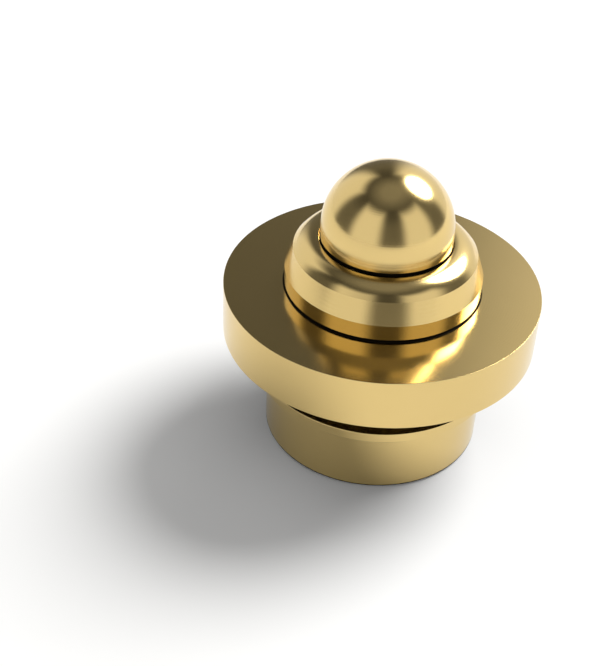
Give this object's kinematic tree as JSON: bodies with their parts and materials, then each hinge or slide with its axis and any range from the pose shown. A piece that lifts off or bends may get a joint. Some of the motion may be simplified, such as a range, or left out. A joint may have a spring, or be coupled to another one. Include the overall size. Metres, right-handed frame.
{
  "type": "pogo pin",
  "caption": "Gold-plated spring-loaded contact pin with a domed plunger, a retaining collar, a round mounting flange and a grooved tail.",
  "frame": {"origin": "centre of the tail's end face, which is the lowest face", "axes": "+Z along the pin's axis, from the tail to the domed tip; X and Y are any two directions across it"},
  "size_m": [0.005, 0.005, 0.0048],
  "materials": {
    "barrel_gold": "smooth gold plate over turned brass",
    "collar_gold": "smooth gold plate over turned brass",
    "plunger_gold": "polished gold plate over turned brass",
    "spring_steel": "drawn spring wire"
  },
  "bodies": {
    "barrel": {"barrel": "barrel_gold", "retaining_collar": "collar_gold", "coil_spring": "spring_steel"},
    "plunger": {"plunger": "plunger_gold"}
  },
  "joints": [
    {"name": "plunger_slide", "type": "slide", "parent": "barrel", "child": "plunger", "axis": [0, 0, 1], "range_m": [-0.001, 0], "stiffness_N_per_m": 378, "springref_m": 0.0008, "deforming": ["coil_spring"]}
  ]
}
